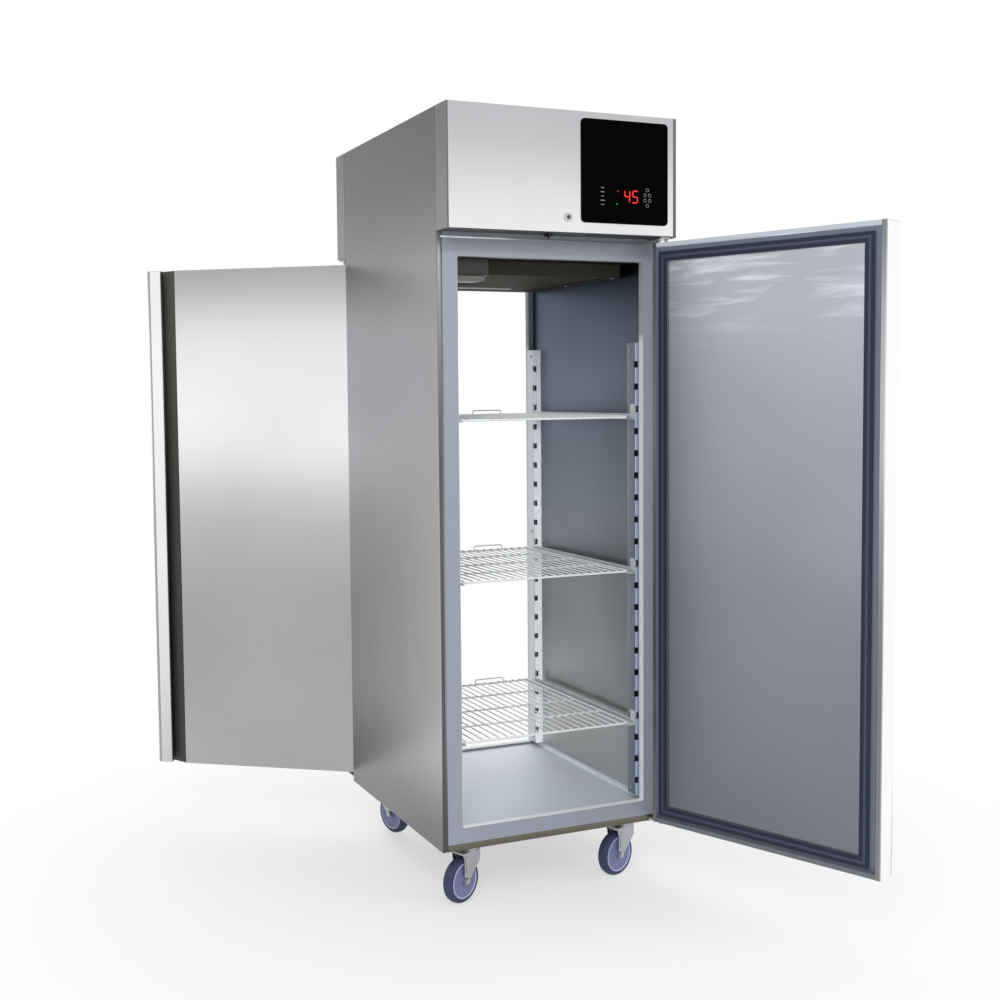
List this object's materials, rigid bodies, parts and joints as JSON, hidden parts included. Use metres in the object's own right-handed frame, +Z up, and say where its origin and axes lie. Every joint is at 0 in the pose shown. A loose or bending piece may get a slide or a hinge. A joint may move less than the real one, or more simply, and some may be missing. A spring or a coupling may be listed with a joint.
{
  "type": "pass-through refrigerator",
  "caption": "Tall foamed cabinet with full-height doors at front and rear, wire shelves on slotted uprights, a header with a glass control panel, and swivel castors.",
  "frame": {"origin": "centre of the flat underside of the cabinet, above the floor by the castors' height", "axes": "+Z up; the front door and the control panel face -Y, the rear door faces +Y"},
  "size_m": [1.4764, 1.9042, 2.136],
  "materials": {
    "side_steel": "brushed",
    "base_steel": "brushed",
    "foam": "rigid polyurethane foam, sealed inside",
    "liner_steel": "satin",
    "floor_steel": "satin",
    "frame_grey": "satin",
    "header_steel": "brushed",
    "black_glass": "gloss",
    "circuit": "matte",
    "lock_chrome": "polished",
    "black_plastic": "matte",
    "rack_steel": "satin",
    "runner_steel": "satin",
    "shelf_wire": "plastic-coated wire",
    "duct_steel": "satin",
    "lamp_grey": "satin",
    "housing_grey": "matte",
    "coil_aluminium": "satin",
    "fan_black": "matte",
    "compressor_black": "satin",
    "box_grey": "satin",
    "copper": "satin",
    "bracket_steel": "satin",
    "door_steel": "brushed",
    "door_inner_steel": "satin",
    "gasket_navy": "matte",
    "cap_grey": "matte",
    "castor_steel": "satin",
    "wheel_blue": "satin",
    "tyre_blue": "matte"
  },
  "bodies": {
    "cabinet": {"side_panel_left": "side_steel", "side_panel_right": "side_steel", "base_panel": "base_steel", "insulation": "foam", "liner_walls": "liner_steel", "liner_floor": "floor_steel", "liner_ceiling": "liner_steel", "front_frame": "frame_grey", "rear_frame": "frame_grey", "top_deck": "base_steel", "front_header": "header_steel", "rear_header": "header_steel", "control_glass": "black_glass", "control_board": "circuit", "lock_barrel": "lock_chrome", "door_switch": "black_plastic", "racks_left": "rack_steel", "racks_right": "rack_steel", "shelf_runners": "runner_steel", "air_duct": "duct_steel", "interior_lamp": "lamp_grey", "evaporator_housing": "housing_grey", "evaporator_coil": "coil_aluminium", "fan_motor": "fan_black", "compressor": "compressor_black", "condenser_coil": "coil_aluminium", "condenser_shroud": "fan_black", "electrical_box": "box_grey", "pipework": "copper", "hinge_brackets": "bracket_steel", "castor_mounts": "castor_steel"},
    "front_door": {"front_door_skin": "door_steel", "front_door_foam": "foam", "front_door_liner": "door_inner_steel", "front_door_gasket": "gasket_navy", "front_door_caps": "cap_grey"},
    "rear_door": {"rear_door_skin": "door_steel", "rear_door_foam": "foam", "rear_door_liner": "door_inner_steel", "rear_door_gasket": "gasket_navy", "rear_door_caps": "cap_grey"},
    "lock": {"lock_plug": "lock_chrome"},
    "lower_shelf": {"shelf_lower": "shelf_wire"},
    "middle_shelf": {"shelf_middle": "shelf_wire"},
    "upper_shelf": {"shelf_upper": "shelf_wire"},
    "cold_fan": {"evaporator_fan": "fan_black"},
    "hot_fan": {"condenser_fan": "fan_black"},
    "fork_fl": {"castor_fork_fl": "castor_steel"},
    "wheel_fl": {"castor_wheel_fl": "wheel_blue", "castor_tyre_fl": "tyre_blue"},
    "fork_fr": {"castor_fork_fr": "castor_steel"},
    "wheel_fr": {"castor_wheel_fr": "wheel_blue", "castor_tyre_fr": "tyre_blue"},
    "fork_rl": {"castor_fork_rl": "castor_steel"},
    "wheel_rl": {"castor_wheel_rl": "wheel_blue", "castor_tyre_rl": "tyre_blue"},
    "fork_rr": {"castor_fork_rr": "castor_steel"},
    "wheel_rr": {"castor_wheel_rr": "wheel_blue", "castor_tyre_rr": "tyre_blue"}
  },
  "joints": [
    {"name": "front_door_hinge", "type": "hinge", "parent": "cabinet", "child": "front_door", "pos_m": [0.326, -0.4215, 0.83], "axis": [0, 0, 1], "range_deg": [-112.4, 37.6]},
    {"name": "rear_door_hinge", "type": "hinge", "parent": "cabinet", "child": "rear_door", "pos_m": [-0.326, 0.4215, 0.83], "axis": [0, 0, 1], "range_deg": [-144, 6]},
    {"name": "lock_turn", "type": "hinge", "parent": "cabinet", "child": "lock", "pos_m": [0.007, -0.4425, 1.699], "axis": [0, 1, 0], "range_deg": [0, 90]},
    {"name": "condenser_fan_spin", "type": "hinge", "parent": "cabinet", "child": "hot_fan", "pos_m": [0.17, 0.159, 1.798], "axis": [0, 1, 0], "continuous": true},
    {"name": "evaporator_fan_spin", "type": "hinge", "parent": "cabinet", "child": "cold_fan", "pos_m": [-0.12, 0.06, 1.581], "axis": [0, 0, 1], "continuous": true},
    {"name": "shelf_lower_slide", "type": "slide", "parent": "cabinet", "child": "lower_shelf", "axis": [0, -1, 0], "range_m": [0, 0.3]},
    {"name": "shelf_middle_slide", "type": "slide", "parent": "cabinet", "child": "middle_shelf", "axis": [0, -1, 0], "range_m": [0, 0.3]},
    {"name": "shelf_upper_slide", "type": "slide", "parent": "cabinet", "child": "upper_shelf", "axis": [0, -1, 0], "range_m": [0, 0.3]},
    {"name": "swivel_fl", "type": "hinge", "parent": "cabinet", "child": "fork_fl", "pos_m": [-0.245, -0.3185, -0.012], "axis": [0, 0, 1], "continuous": true},
    {"name": "roll_fl", "type": "hinge", "parent": "fork_fl", "child": "wheel_fl", "pos_m": [-0.27736, -0.33428, -0.0935], "axis": [-0.4384, 0.8988, 0], "continuous": true},
    {"name": "swivel_fr", "type": "hinge", "parent": "cabinet", "child": "fork_fr", "pos_m": [0.245, -0.3185, -0.012], "axis": [0, 0, 1], "continuous": true},
    {"name": "roll_fr", "type": "hinge", "parent": "fork_fr", "child": "wheel_fr", "pos_m": [0.21096, -0.33022, -0.0935], "axis": [-0.3256, 0.9455, 0], "continuous": true},
    {"name": "swivel_rl", "type": "hinge", "parent": "cabinet", "child": "fork_rl", "pos_m": [-0.245, 0.3185, -0.012], "axis": [0, 0, 1], "continuous": true},
    {"name": "roll_rl", "type": "hinge", "parent": "fork_rl", "child": "wheel_rl", "pos_m": [-0.23508, 0.2839, -0.0935], "axis": [-0.9613, -0.2756, 0], "continuous": true},
    {"name": "swivel_rr", "type": "hinge", "parent": "cabinet", "child": "fork_rr", "pos_m": [0.245, 0.3185, -0.012], "axis": [0, 0, 1], "continuous": true},
    {"name": "roll_rr", "type": "hinge", "parent": "fork_rr", "child": "wheel_rr", "pos_m": [0.23508, 0.2839, -0.0935], "axis": [-0.9613, 0.2756, 0], "continuous": true}
  ]
}
